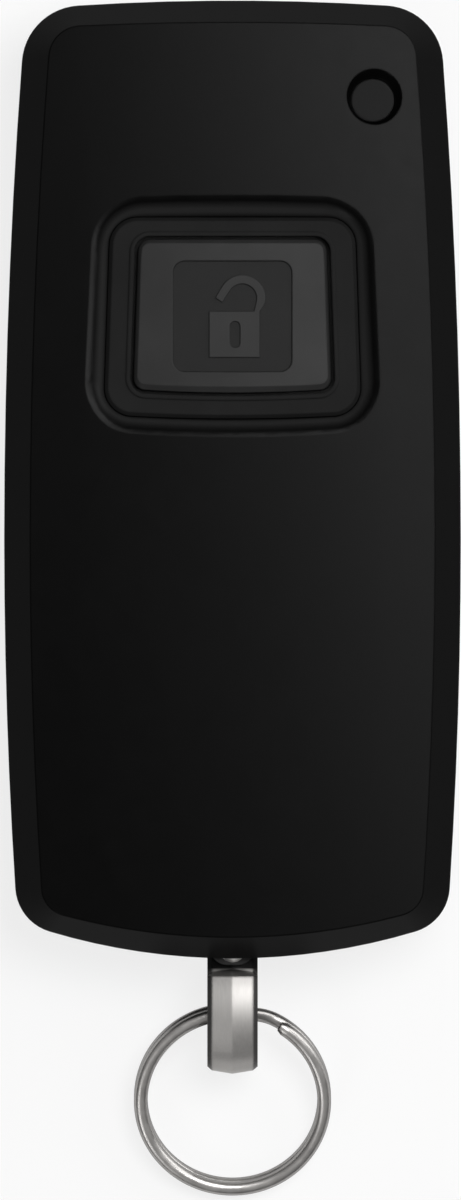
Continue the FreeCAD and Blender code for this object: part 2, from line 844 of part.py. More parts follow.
def hanger():
    """Faceted eye: two long facets that meet in a ridge, with a chamfer along each side."""
    half = hanger_width / 2
    stations = [(0.0, 0.0), (ridge_half_width, ridge_rise), (half, ridge_rise + eye_chamfer)]
    slices = []
    for side in (-1, 1):
        for (x0, in0), (x1, in1) in zip(stations, stations[1:]):
            wires = [hanger_side(side * x0, in0), hanger_side(side * x1, in1)]
            slices.append(Part.makeLoft(wires, True, True))
    bar = slices[0].fuse(slices[1:]).removeSplitter()
    plan = block(-half, half, hanger_far_y, pin_y, 0, body_thickness)
    ends = edges_where(plan, lambda b: b.YMax < hanger_far_y + close and b.ZLength > close)
    plan = plan.makeFillet(hanger_corner, ends)
    plan = plan.fuse(post(0, pin_y, 0, body_thickness, half)).removeSplitter()
    bar = bar.common(plan)
    bar = bar.cut(Part.makeCylinder(eye_hole_radius, body_width,
                                    Vector(-body_width / 2, eye_hole_y, eye_hole_z), X))
    rims = [e for e in bar.Edges
            if hasattr(e.Curve, "Radius") and abs(e.Curve.Radius - eye_hole_radius) < close
            and e.BoundBox.XLength < close]
    bar = bar.makeChamfer(eye_hole_edge, rims)
    return bar.cut(post(0, pin_y, 0, body_thickness, pin_radius + pin_fit))


def wire_section(angle_deg, height):
    """Cross-section of the flattened wire, with bevelled corners, at an angle round the ring."""
    half_w, half_h = wire_width / 2, wire_height / 2
    corners = []
    for side_w, side_h in ((1, 1), (-1, 1), (-1, -1), (1, -1)):
        upright = (side_w * half_w, side_h * (half_h - wire_edge))
        along = (side_w * (half_w - wire_edge), side_h * half_h)
        corners += [upright, along] if side_w * side_h > 0 else [along, upright]
    places = [Vector(wire_middle_radius + w, 0, height + h) for w, h in corners]
    wire = Part.makePolygon(places + places[:1])
    wire.rotate(origin, Z, angle_deg)
    return wire


def ring_tilt():
    """Angle at which the ring's far side just rests on the surface under the body."""
    reach = wire_middle_radius + ring_outer_radius - wire_edge
    depth = ring_half_height
    return math.degrees(math.asin(ring_pivot_z / math.hypot(reach, depth))
                        - math.atan2(depth, reach))


def split_ring():
    """Two turns of wire joined by a step, open at both cut ends."""
    layer = (wire_height + turn_gap) / 2
    front_sweep = 360 - (step_start_deg - cut_end_deg)
    back_sweep = 360 - (step_start_deg + tail_gap_deg - step_end_deg)
    front = Part.Face(wire_section(cut_end_deg, layer)).revolve(origin, -Z, front_sweep)
    back = Part.Face(wire_section(step_end_deg, -layer)).revolve(origin, -Z, back_sweep)
    sections = []
    for index in range(step_sections + 1):
        share = index / step_sections
        angle = step_start_deg + (step_end_deg - step_start_deg) * share
        sections.append(wire_section(angle, layer * math.cos(math.pi * share)))
    step = Part.makeLoft(sections, True, True)
    ring = front.fuse([step, back])
    tilt = ring_tilt()
    ring.rotate(origin, X, tilt)
    near = Vector(0, math.cos(math.radians(tilt)), math.sin(math.radians(tilt)))
    ring.translate(Vector(0, ring_pivot_y, ring_pivot_z) - near * wire_middle_radius)
    return ring


def save(shapes):
    os.makedirs("parts", exist_ok=True)
    for name, shape in shapes.items():
        shape.exportStep("parts/" + name + ".step")


form = body_form()
nodes = {
    "front_cover": front_cover(form),
    "rear_cover": rear_cover(form),
    "case_seal": case_seal(),
    "button_bezel": button_bezel(),
    "button_cap": button_cap(),
    "button_membrane": button_membrane(),
    "status_lens": status_lens(),
    "status_led": on_board(lens_x, lens_y, led_size),
    "circuit_board": circuit_board(),
    "switch_housing": switch_housing(),
    "switch_cover": switch_cover(),
    "switch_terminals": switch_terminals(),
    "switch_plunger": switch_plunger(),
    "lf_coil_core": coil_core(),
    "lf_coil_windings": coil_windings(),
    "control_chip": on_board(0, control_chip_y(), control_chip_size),
    "radio_chip": on_board(radio_chip_x, cell_y + radio_chip_above_cell, radio_chip_size),
    "crystal": crystal(),
    "chip_components": chip_components(),
    "loop_antenna": loop_antenna(),
    "coin_cell_can": coin_cell_can(),
    "coin_cell_cap": coin_cell_cap(),
    "battery_tray": battery_tray(),
    "battery_contact_negative": battery_contact_negative(),
    "battery_contact_positive": battery_contact_positive(),
    "case_screws": case_screws(),
    "hanger_bracket": hanger_bracket(),
    "hanger_pin": hanger_pin(),
    "hanger": hanger(),
    "split_ring": split_ring(),
}
save(nodes)
print("ring tilt", round(ring_tilt(), 2), "pivot", round(ring_pivot_y, 3), round(ring_pivot_z, 3))
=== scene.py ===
import json
import math

import bmesh
import bpy
from mathutils import Matrix, Vector


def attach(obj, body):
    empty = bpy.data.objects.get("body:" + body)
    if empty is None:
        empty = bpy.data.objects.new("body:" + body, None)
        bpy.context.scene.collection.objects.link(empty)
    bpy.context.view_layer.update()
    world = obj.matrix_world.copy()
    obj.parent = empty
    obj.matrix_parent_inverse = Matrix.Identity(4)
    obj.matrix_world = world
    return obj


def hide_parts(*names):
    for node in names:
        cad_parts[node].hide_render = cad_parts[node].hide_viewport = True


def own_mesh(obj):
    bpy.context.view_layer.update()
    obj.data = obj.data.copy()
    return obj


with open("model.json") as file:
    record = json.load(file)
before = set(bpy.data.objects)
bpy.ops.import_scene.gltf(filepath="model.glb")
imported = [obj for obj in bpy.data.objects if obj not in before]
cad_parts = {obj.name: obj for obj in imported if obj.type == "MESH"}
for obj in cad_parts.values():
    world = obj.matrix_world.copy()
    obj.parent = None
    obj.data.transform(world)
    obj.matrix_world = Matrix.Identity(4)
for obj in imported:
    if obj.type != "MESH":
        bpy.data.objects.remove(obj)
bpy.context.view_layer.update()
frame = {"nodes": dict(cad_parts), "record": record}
nodes = frame["nodes"]

MM = 0.001

# The photograph's frame, and where its middle lies on the remote
IMAGE_HEIGHT_PX = 1200
PX_PER_MM = 12.0
IMAGE_MIDDLE = Vector((-0.167, -10.025, 9.0)) * MM
# Far away, as in the photograph, but not so far that it would be clipped
CAMERA_DISTANCE = 1.4
SENSOR = 36.0

# All sizes below are in millimetres, in the frame of the solids.
# The faces of the button and the case: height in the middle, and radius from side to side
CAP = {"top": 14.15, "crown": 130.0}
FACE = {"top": 14.0, "crown": 470.0}
# Where the finishes find the button's sunk square, the dish walls that get painted light with
# painted shade at their foot, and the hanger's neck that gets black painted shade.
# A pair is a range over which the finish changes.
SUNK_SQUARE = {"half_wide": 4.95, "half_high": 4.625, "middle": 13.525, "floor": 13.85,
               "margin": 0.1, "depth": (0.1, 0.16)}
DISH = {"half_wide": 14.6, "low": 0.0, "high": 26.0, "lowest": 12.0, "wall": (0.06, 0.35),
        "foot": (0.5, 0.72), "foot_shade": 0.75}
# Black painted shade on the hanger's neck over this range of Y, where the case shades it
NECK_PAINTED_SHADE = (-41.1, -40.72)

# The sign on the button: an open padlock
SIGN = {"top": 14.12, "sunk": 0.03, "rounding": 0.05, "edge": 0.06}
PADLOCK_BODY = {"left": -1.94, "right": 2.27, "low": 10.12, "high": 13.95}
SHACKLE = {"centre": (0.81, 15.03), "outer": 1.94, "inner": 1.2, "from_deg": -15, "to_deg": 148,
           "outer_steps": 26, "inner_steps": 22, "free_end": [(-1.43, 15.09), (-0.85, 14.68)],
           "foot": 1.78}
KEYHOLE = {"x": 0.21, "low": 11.35, "high": 12.7, "radius": 0.42, "steps": 12}

# The split ring: its angles are in degrees round the ring, its steps count the stations
RING = {"radius": 7.675, "width": 1.15, "height": 1.05, "gap": 0.1, "squareness": 2.2,
        "section_points": 20, "pivot": (0.0, -44.43, 5.38), "tilt": 16.06, "cut": 59.0,
        "step_start": 90.0, "step_end": 62.0, "tail": 2.0, "turn_steps": 110, "step_steps": 14,
        "end_taper": 0.72}

SCREW_PLACES = [(13.4, 25.45), (-13.4, 25.45), (12.0, -33.45), (-12.0, -33.45)]
SCREW = {"radius": 1.75, "low": 0.3, "seat": 1.4, "shank": 1.0, "length": 8.0, "edge": 0.22,
         "edge_steps": 5, "socket": 0.85, "socket_depth": 0.7, "chamfer": 0.08, "sides": 36}


def grey(level, warm=0.0):
    return (level * (1 + warm), level, level * (1 - warm), 1.0)


def tinted(colour, factor):
    return tuple(channel * factor for channel in colour[:3]) + (1.0,)


def in_metres(values):
    return [value * MM for value in values]


# ---------------------------------------------------------------- materials

# The colour sockets of a Mix node, which share their names with its other sockets
MIX_LOW, MIX_HIGH, MIX_RESULT = 6, 7, 2
# Most values of a noise texture lie in this range
NOISE_SPAN = (0.3, 0.7)
BEVEL_SAMPLES = 6


class Finish:
    """A Principled material under construction, with its small node helpers."""

    def __init__(self, name):
        self.made = bpy.data.materials.new(name)
        self.made.use_nodes = True
        self.tree = self.made.node_tree
        self.tree.nodes.clear()
        self.out = self.node("ShaderNodeOutputMaterial")
        self.shader = self.node("ShaderNodeBsdfPrincipled")
        self.link(self.shader.outputs["BSDF"], self.out.inputs["Surface"])

    def node(self, kind, **settings):
        """A new node, with its properties or inputs set by name."""
        made = self.tree.nodes.new(kind)
        for key, value in settings.items():
            if hasattr(made, key):
                setattr(made, key, value)
            else:
                made.inputs[key].default_value = value
        return made

    def link(self, source, target):
        self.tree.links.new(source, target)

    def feed(self, socket, value):
        """Gives a socket another node's output or a plain value."""
        if hasattr(value, "links"):
            self.link(value, socket)
        else:
            socket.default_value = value

    def set(self, **values):
        for key, value in values.items():
            self.shader.inputs[key.replace("_", " ")].default_value = value

    def base_colour(self, source):
        self.link(source, self.shader.inputs["Base Color"])

    def roughness(self, pattern, low, high, span=(0.0, 1.0)):
        """Varies the roughness with a pattern, whose values lie in the span."""
        self.link(self.ramp(pattern, grey(low), grey(high), *span),
                  self.shader.inputs["Roughness"])

    def coordinates(self, scale=(1, 1, 1)):
        where = self.node("ShaderNodeTexCoord")
        mapping = self.node("ShaderNodeMapping")
        mapping.inputs["Scale"].default_value = scale
        self.link(where.outputs["Object"], mapping.inputs["Vector"])
        return mapping.outputs["Vector"]

    def parts(self, vector):
        """The X, Y and Z of a vector."""
        split = self.node("ShaderNodeSeparateXYZ")
        self.link(vector, split.inputs[0])
        return split.outputs

    def place(self):
        """The three coordinates of the point in the object's frame, in metres."""
        return self.parts(self.coordinates())

    def facing(self, normal, axis):
        """1 where the surface faces along an axis of the piece's own frame, 0 across it."""
        own = self.node("ShaderNodeVectorTransform", vector_type="NORMAL", convert_from="WORLD",
                        convert_to="OBJECT")
        self.link(normal, own.inputs[0])
        return self.maths("ABSOLUTE", self.parts(own.outputs[0])[axis])

    def rise(self, value, start, end):
        """0 before the first value, 1 after the second."""
        made = self.node("ShaderNodeMapRange")
        self.link(value, made.inputs["Value"])
        made.inputs["From Min"].default_value = start
        made.inputs["From Max"].default_value = end
        return made.outputs["Result"]

    def noise(self, per_mm, stretch=(1, 1, 1), detail=2.0):
        made = self.node("ShaderNodeTexNoise", Scale=per_mm / MM, Detail=detail)
        self.link(self.coordinates(stretch), made.inputs["Vector"])
        return made.outputs["Fac"]

    def ramp(self, value, low, high, start=0.0, end=1.0):
        ramp = self.node("ShaderNodeValToRGB")
        first, last = ramp.color_ramp.elements
        first.position, first.color = start, low
        last.position, last.color = end, high
        self.link(value, ramp.inputs["Fac"])
        return ramp.outputs["Color"]

    def maths(self, operation, *values):
        made = self.node("ShaderNodeMath", operation=operation)
        for socket, value in zip(made.inputs, values):
            self.feed(socket, value)
        return made.outputs[0]

    def product(self, value, *factors):
        for factor in factors:
            value = self.maths("MULTIPLY", value, factor)
        return value

    def below(self, value, limit_mm):
        return self.maths("LESS_THAN", value, limit_mm * MM)

    def above(self, value, limit_mm):
        return self.maths("GREATER_THAN", value, limit_mm * MM)

    def mix(self, share, low, high):
        """The low colour where the share is 0, the high one where it is 1."""
        made = self.node("ShaderNodeMix", data_type="RGBA")
        self.link(share, made.inputs["Factor"])
        self.feed(made.inputs[MIX_LOW], low)
        self.feed(made.inputs[MIX_HIGH], high)
        return made.outputs[MIX_RESULT]

    def soft_edges(self, radius_mm):
        bevel = self.node("ShaderNodeBevel", samples=BEVEL_SAMPLES, Radius=radius_mm * MM)
        return bevel.outputs["Normal"]

    def edge_wear(self, normal, gain):
        """0 on the flats, rising where the edges turn."""
        where = self.node("ShaderNodeNewGeometry")
        dot = self.node("ShaderNodeVectorMath", operation="DOT_PRODUCT")
        self.link(normal, dot.inputs[0])
        self.link(where.outputs["Normal"], dot.inputs[1])
        turn = self.maths("SUBTRACT", 1.0, dot.outputs["Value"])
        return self.maths("MINIMUM", self.maths("MULTIPLY", turn, gain), 1.0)

    def bump(self, height, depth_mm, normal=None):
        made = self.node("ShaderNodeBump", Strength=1.0, Distance=depth_mm * MM)
        self.link(height, made.inputs["Height"])
        if normal is not None:
            self.link(normal, made.inputs["Normal"])
        self.link(made.outputs["Normal"], self.shader.inputs["Normal"])


def depth_below(finish, x, z, surface):
    """How far a point lies under a face that is crowned from side to side."""
    crown = finish.maths("DIVIDE", finish.maths("MULTIPLY", x, x), 2 * surface["crown"] * MM)
    return finish.maths("SUBTRACT", finish.maths("SUBTRACT", surface["top"] * MM, crown), z)


def inside_square(finish):
    """1 on the floor of the button's sunk square, 0 elsewhere."""
    x, y, z = finish.place()
    sunk = finish.rise(depth_below(finish, x, z, CAP), *in_metres(SUNK_SQUARE["depth"]))
    from_middle = finish.maths("SUBTRACT", y, SUNK_SQUARE["middle"] * MM)
    margin = SUNK_SQUARE["margin"]
    in_x = finish.below(finish.maths("ABSOLUTE", x), SUNK_SQUARE["half_wide"] + margin)
    in_y = finish.below(finish.maths("ABSOLUTE", from_middle), SUNK_SQUARE["half_high"] + margin)
    return finish.product(sunk, in_x, in_y)


def painted_light_in_dish(finish):
    """1 where the dish walls get painted light, less at their foot, where painted shade takes
    over, 0 on the face and the bevels.
    """
    x, y, z = finish.place()
    depth = depth_below(finish, x, z, FACE)
    wall = finish.rise(depth, *in_metres(DISH["wall"]))
    foot = finish.rise(depth, *in_metres(DISH["foot"]))
    painted_light_kept = finish.maths("ADD", finish.maths("MULTIPLY", foot, -DISH["foot_shade"]), 1.0)
    return finish.product(wall, painted_light_kept, finish.above(z, DISH["lowest"]),
                          finish.below(finish.maths("ABSOLUTE", x), DISH["half_wide"]),
                          finish.above(y, DISH["low"]), finish.below(y, DISH["high"]))


# Plastics: how densely their mottle and sheen vary, and how fast an edge wears with its turn
MOTTLE_PER_MM = 0.25
SHEEN_PER_MM = 0.9
SHEEN_SPREAD = 0.03
WEAR_GAIN = 1.6
# Shares of a plastic's colour on worn edges, and of painted shade low on the sides of the button
# and its frame
WORN_TINT = 1.9
LOW_SIDE_PAINTED_SHADE = 0.1


def plastic(name, colour, roughness, specular, edge_mm=0.2, grain_mm=0.12, grain_depth_mm=0.003,
            spread=0.1, ior=1.5, square_tint=1.0, dish_painted_light=1.0, painted_shade_below=None):
    """Moulded plastic or rubber: fine grain, faint mottle and paler, worn edges; where asked,
    painted light on the dish walls and painted shade low on the sides.
    """
    finish = Finish(name)
    normal = finish.soft_edges(edge_mm)
    mottle = finish.ramp(finish.noise(MOTTLE_PER_MM), tinted(colour, 1 - spread),
                         tinted(colour, 1 + spread), *NOISE_SPAN)
    shade = finish.mix(finish.edge_wear(normal, WEAR_GAIN), mottle, tinted(colour, WORN_TINT))
    if square_tint != 1.0:
        shade = finish.mix(inside_square(finish), shade, tinted(colour, square_tint))
    # Painted light on the dish walls, giving way to painted shade at their foot
    if dish_painted_light != 1.0:
        shade = finish.mix(painted_light_in_dish(finish), shade, tinted(colour, dish_painted_light))
    # Painted shade low on the sides, where the gaps around the button and its frame shade them
    if painted_shade_below:
        height = finish.rise(finish.place()[2], *in_metres(painted_shade_below))
        shade = finish.mix(height, tinted(colour, LOW_SIDE_PAINTED_SHADE), shade)
    finish.base_colour(shade)
    finish.roughness(finish.noise(SHEEN_PER_MM), roughness - SHEEN_SPREAD,
                     roughness + SHEEN_SPREAD)
    finish.set(Specular_IOR_Level=specular, IOR=ior)
    finish.bump(finish.noise(1 / grain_mm), grain_depth_mm, normal)
    return finish.made


# Brushed metal: long fine strokes along Y, and a broader cloud that only stirs the roughness
STROKES = {"per_mm": 9.0, "stretch": (1, 0.02, 1), "detail": 2.0}
BROAD = {"per_mm": 0.35, "stretch": (1, 0.5, 1), "detail": 1.0}
STROKE_SHARE, BROAD_SHARE = 0.6, 0.4
STROKE_TINTS = (0.94, 1.04)
STROKE_DEPTH = 0.0005
BRUSHED_EDGE = 0.3
BRUSHED_SPREAD = 0.05
BRUSHED_WARMTH = 0.03
# The sides, which face along X, get painted shade, and the neck in the case gets black painted
# shade
SHADED_FLANK_RANGE = (0.25, 0.65)
FLANK_PAINTED_SHADE = 0.15
NECK_SHADE_LEVEL = 0.01


def brushed(name, level, roughness):
    """Bright metal with long fine brush strokes, painted shade on its sides and black painted
    shade where it enters the case.
    """
    finish = Finish(name)
    finish.set(Metallic=1.0)
    normal = finish.soft_edges(BRUSHED_EDGE)
    strokes = finish.noise(**STROKES)
    broad = finish.noise(**BROAD)
    dark, bright = [grey(level * tint, BRUSHED_WARMTH) for tint in STROKE_TINTS]
    colour = finish.ramp(strokes, dark, bright, *NOISE_SPAN)
    # Painted shade on the sides that face along X
    shaded_flanks = finish.rise(finish.facing(normal, "X"), *SHADED_FLANK_RANGE)
    colour = finish.mix(shaded_flanks, colour, grey(level * FLANK_PAINTED_SHADE, BRUSHED_WARMTH))
    # Black painted shade on the neck where it goes into the case
    inside = finish.rise(finish.place()[1], *in_metres(NECK_PAINTED_SHADE))
    finish.base_colour(finish.mix(inside, colour, grey(NECK_SHADE_LEVEL)))
    pattern = finish.maths("ADD", finish.maths("MULTIPLY", strokes, STROKE_SHARE),
                           finish.maths("MULTIPLY", broad, BROAD_SHARE))
    finish.roughness(pattern, roughness - BRUSHED_SPREAD, roughness + BRUSHED_SPREAD, NOISE_SPAN)
    finish.bump(strokes, STROKE_DEPTH, normal)
    return finish.made


# Plated metal: a cloud varies its shade and roughness, and its sides may get painted shade
CLOUD = {"per_mm": 1.1, "detail": 4.0}
CLOUD_TINTS = (0.93, 1.04)
UPWARD_RANGE = (0.2, 0.8)
SMOOTHER, ROUGHER = 0.03, 0.05
MARK_DEPTH = 0.001


def metal(name, colour, roughness, edge_mm=0.08, marks_per_mm=5.0, side_shade_tint=1.0):
    """Plated or tumbled metal with faint handling marks, and painted shade on its sides where
    asked.
    """
    finish = Finish(name)
    finish.set(Metallic=1.0)
    cloud = finish.noise(**CLOUD)
    dark, bright = [tinted(colour, tint) for tint in CLOUD_TINTS]
    shade = finish.ramp(cloud, dark, bright, *NOISE_SPAN)
    normal = finish.soft_edges(edge_mm)
    # Painted shade on the sides that face away from Z
    if side_shade_tint != 1.0:
        upward = finish.rise(finish.facing(normal, "Z"), *UPWARD_RANGE)
        shade = finish.mix(upward, tinted(colour, side_shade_tint), shade)
    finish.base_colour(shade)
    finish.roughness(cloud, roughness - SMOOTHER, roughness + ROUGHER, NOISE_SPAN)
    finish.bump(finish.noise(marks_per_mm), MARK_DEPTH, normal)
    return finish.made


BARE_LACQUER, TRACK_LACQUER = (0.03, 0.2, 0.09, 1), (0.02, 0.12, 0.055, 1)
TRACKS = {"per_mm": 0.5, "edge": (0.04, 0.09), "depth_mm": 0.01}


def board_lacquer(name):
    """Green solder lacquer over a faint pattern of buried tracks."""
    finish = Finish(name)
    tracks = finish.node("ShaderNodeTexVoronoi", feature="DISTANCE_TO_EDGE",
                         Scale=TRACKS["per_mm"] / MM)
    finish.link(finish.coordinates(), tracks.inputs["Vector"])
    distance = tracks.outputs["Distance"]
    finish.base_colour(finish.ramp(distance, BARE_LACQUER, TRACK_LACQUER, *TRACKS["edge"]))
    finish.roughness(finish.noise(1.0), low=0.25, high=0.34)
    finish.bump(distance, TRACKS["depth_mm"])
    return finish.made


COPPER_SHADE, COPPER_BRIGHT = (0.25, 0.09, 0.03, 1), (0.7, 0.32, 0.14, 1)
TURNS = {"per_mm": 1.5, "unevenness": 0.2, "depth_mm": 0.03}


def winding(name):
    """Enamelled copper laid in close turns round the X axis."""
    finish = Finish(name)
    finish.set(Metallic=1.0)
    turns = finish.node("ShaderNodeTexWave", bands_direction="X", Scale=TURNS["per_mm"] / MM,
                        Distortion=TURNS["unevenness"])
    finish.link(finish.coordinates(), turns.inputs["Vector"])
    finish.base_colour(finish.ramp(turns.outputs["Fac"], COPPER_SHADE, COPPER_BRIGHT))
    finish.roughness(finish.noise(2.0), low=0.22, high=0.32)
    finish.bump(turns.outputs["Fac"], TURNS["depth_mm"])
    return finish.made


# Each slot's kind of finish, colour, roughness, and what else sets it apart
FINISHES = {
    # The case's dish walls get painted light, fading to painted shade at their foot
    "case": (plastic, grey(0.0015), 0.25,
             dict(specular=0.5, grain_depth_mm=0.001, ior=1.121, dish_painted_light=12.0)),
    # The bezel and the button get painted shade low on their sides
    "bezel": (plastic, grey(0.011), 0.5, dict(specular=0.5, ior=1.12, painted_shade_below=(13.3, 13.5))),
    "button": (plastic, grey(0.022), 0.42,
               dict(specular=0.5, edge_mm=0.15, ior=1.2, square_tint=0.3,
                    painted_shade_below=(13.5, 13.75))),
    "smoked_window": (plastic, grey(0.004), 0.28, dict(specular=0.5, ior=1.12)),
    "seal_rubber": (plastic, grey(0.02), 0.75, dict(specular=0.2)),
    "membrane_rubber": (plastic, grey(0.1), 0.7, dict(specular=0.25)),
    "switch_plastic": (plastic, grey(0.035), 0.55, dict(specular=0.4)),
    "chip": (plastic, grey(0.03), 0.6, dict(specular=0.3, edge_mm=0.05)),
    "ceramic": (plastic, (0.4, 0.3, 0.2), 0.5, dict(specular=0.4, edge_mm=0.05, spread=0.2)),
    "tray": (plastic, grey(0.08), 0.5, dict(specular=0.4)),
    "ferrite": (plastic, grey(0.06), 0.45,
                dict(specular=0.5, grain_mm=0.08, grain_depth_mm=0.01)),
    "led": (plastic, (0.8, 0.76, 0.55), 0.2, dict(specular=0.5, edge_mm=0.1, spread=0.03)),
    "black_steel": (plastic, grey(0.008), 0.32, dict(specular=0.25, edge_mm=0.1)),
    "screw_steel": (metal, grey(0.12), 0.34, dict(edge_mm=0.1)),
    "plated_steel": (metal, grey(0.62, 0.02), 0.25, {}),
    "cell": (metal, grey(0.7, 0.01), 0.2, dict(marks_per_mm=2.0)),
    "spring_contact": (metal, (0.68, 0.6, 0.4), 0.25, {}),
    "polished_steel": (metal, grey(0.85), 0.2, {}),
    # The ring's sides get painted shade
    "ring_steel": (metal, grey(0.52, 0.03), 0.33, dict(marks_per_mm=3.0, side_shade_tint=0.2)),
}
MATERIALS = {slot: make(slot, colour, roughness, **rest)
             for slot, (make, colour, roughness, rest) in FINISHES.items()}
MATERIALS["board"] = board_lacquer("board")
MATERIALS["copper_wire"] = winding("copper_wire")
MATERIALS["brushed_metal"] = brushed("brushed_metal", level=0.44, roughness=0.52)

for row in frame["record"]["subparts"]:
    surfaces = nodes[row["node"]].data.materials
    surfaces.clear()
    surfaces.append(MATERIALS[row["material_slot"]])


# ---------------------------------------------------------------- pieces

# Edges that turn more than this stay sharp, in degrees
SHARP = 35.0
SHARP_RING = 50.0
SHARP_SCREW = 30.0
# Points closer together than this, in metres, become one
WELD = 1e-7
# A face whose normal has more than this along Z is a flat top or foot
UPRIGHT = 0.99


def add_object(name, data):
    made = bpy.data.objects.new(name, data)
    bpy.context.scene.collection.objects.link(made)
    return made


def place_piece(name, mesh, body, slot, surface=None):
    made = add_object(name, mesh)
    mesh.materials.clear()
    mesh.materials.append(surface or MATERIALS[slot])
    for polygon in mesh.polygons:
        polygon.use_smooth = True
    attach(made, body)
    return made


def sharp_by_angle(made, degrees=SHARP):
    """Marks as sharp the edges that turn more than the given angle."""
    mesh = bmesh.new()
    mesh.from_mesh(made.data)
    bmesh.ops.remove_doubles(mesh, verts=mesh.verts, dist=WELD)
    limit = math.radians(degrees)
    for edge in mesh.edges:
        edge.smooth = len(edge.link_faces) == 2 and edge.calc_face_angle(0.0) < limit
    mesh.to_mesh(made.data)
    mesh.free()


def arc_points(centre, radius, start_deg, end_deg, count):
    step = (end_deg - start_deg) / count
    return [(centre[0] + radius * math.cos(math.radians(start_deg + step * i)),
             centre[1] + radius * math.sin(math.radians(start_deg + step * i)))
            for i in range(count + 1)]


def relief(name, outlines, low, high, rounding, body, slot, surface):
    """A raised flat form with softly rounded edges, from one outline and its holes."""
    curve = bpy.data.curves.new(name, "CURVE")
    curve.dimensions = "2D"
    curve.fill_mode = "BOTH"
    for outline in outlines:
        spline = curve.splines.new("POLY")
        spline.points.add(len(outline) - 1)
        for point, (x, y) in zip(spline.points, outline):
            point.co = (x * MM, y * MM, 0, 1)
        spline.use_cyclic_u = True
    curve.extrude = ((high - low) / 2 - rounding) * MM
    curve.bevel_depth = rounding * MM
    curve.bevel_resolution = 2
    curve.offset = -rounding * MM
    shaped = add_object(name + ".curve", curve)
    bpy.context.view_layer.update()
    seen = shaped.evaluated_get(bpy.context.evaluated_depsgraph_get())
    mesh = bpy.data.meshes.new_from_object(seen)
    mesh.name = name
    bpy.data.objects.remove(shaped)
    mesh.transform(Matrix.Translation((0, 0, (low + high) / 2 * MM)))
    made = place_piece(name, mesh, body, slot, surface)
    sharp_by_angle(made)
    for polygon in made.data.polygons:
        polygon.use_smooth = abs(polygon.normal.z) < UPRIGHT


def open_padlock():
    """The button's sign: an open padlock with a keyhole slot."""
    left, right, low, high = [PADLOCK_BODY[side] for side in ("left", "right", "low", "high")]
    centre, start, end = SHACKLE["centre"], SHACKLE["from_deg"], SHACKLE["to_deg"]
    outer = arc_points(centre, SHACKLE["outer"], start, end, SHACKLE["outer_steps"])
    inner = arc_points(centre, SHACKLE["inner"], end, start, SHACKLE["inner_steps"])
    outline = ([(left, low), (right, low), (right, high)] + outer + SHACKLE["free_end"] + inner
               + [(SHACKLE["foot"], high), (left, high)])
    keyhole = []
    for height, start_deg in ((KEYHOLE["high"], 0), (KEYHOLE["low"], 180)):
        keyhole += arc_points((KEYHOLE["x"], height), KEYHOLE["radius"], start_deg,
                              start_deg + 180, KEYHOLE["steps"])
    surface = plastic("button_sign", grey(0.024), roughness=0.42, specular=0.5,
                      edge_mm=SIGN["edge"], ior=1.2)
    relief("padlock_sign", [outline, keyhole], SUNK_SQUARE["floor"] - SIGN["sunk"], SIGN["top"],
           SIGN["rounding"], "button", "button", surface)


def bridge(mesh, loops):
    """Joins each closed loop of points to the next with quads."""
    for first, second in zip(loops, loops[1:]):
        for i in range(len(first)):
            j = (i + 1) % len(first)
            mesh.faces.new((first[i], first[j], second[j], second[i]))


def piece_of(mesh, name, body, slot, sharp_deg):
    """Turns a finished bmesh into a piece."""
    data = bpy.data.meshes.new(name)
    mesh.to_mesh(data)
    mesh.free()
    made = place_piece(name, data, body, slot)
    sharp_by_angle(made, sharp_deg)
    return made


def wire_outline():
    """Cross-section of the ring's wire: between an ellipse and a rounded rectangle."""
    width, height = RING["width"], RING["height"]
    count, power = RING["section_points"], RING["squareness"]
    points = []
    for index in range(count):
        turn = 2 * math.pi * index / count
        c, s = math.cos(turn), math.sin(turn)
        points.append((math.copysign(abs(c) ** (2 / power), c) * width / 2,
                       math.copysign(abs(s) ** (2 / power), s) * height / 2))
    return points


def ring_stations():
    """Angle and height of the wire's middle, from its front end to its back end."""
    layer = (RING["height"] + RING["gap"]) / 2
    turn_steps, step_steps = RING["turn_steps"], RING["step_steps"]
    front_end = RING["step_start"] - 360
    step_end = RING["step_end"] - 360
    back_end = front_end + RING["tail"] - 360
    stations = []
    for index in range(turn_steps + 1):
        stations.append((RING["cut"] + (front_end - RING["cut"]) * index / turn_steps, layer))
    for index in range(1, step_steps + 1):
        share = index / step_steps
        stations.append((front_end + (step_end - front_end) * share,
                         layer * math.cos(math.pi * share)))
    for index in range(1, turn_steps + 1):
        stations.append((step_end + (back_end - step_end) * index / turn_steps, -layer))
    return stations


def split_ring():
    """One wire wound twice round, with its step and its two cut ends."""
    stations = ring_stations()
    section = wire_outline()
    mesh = bmesh.new()
    loops = []
    for index, (angle, height) in enumerate(stations):
        taper = RING["end_taper"] if index in (0, len(stations) - 1) else 1.0
        turn = math.radians(angle)
        loops.append([mesh.verts.new(((RING["radius"] + w * taper) * math.cos(turn),
                                      (RING["radius"] + w * taper) * math.sin(turn),
                                      height + h * taper)) for w, h in section])
    bridge(mesh, loops)
    mesh.faces.new(list(reversed(loops[0])))
    mesh.faces.new(loops[-1])
    bmesh.ops.recalc_face_normals(mesh, faces=mesh.faces)
    tilt = Matrix.Rotation(math.radians(RING["tilt"]), 4, "X")
    near = tilt @ Vector((0, RING["radius"], 0))
    place = Matrix.Translation(Vector(RING["pivot"]) - near) @ tilt
    bmesh.ops.transform(mesh, matrix=Matrix.Scale(MM, 4) @ place, verts=mesh.verts)
    made = piece_of(mesh, "split_ring_wire", "ring", "ring_steel", SHARP_RING)
    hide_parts("split_ring")


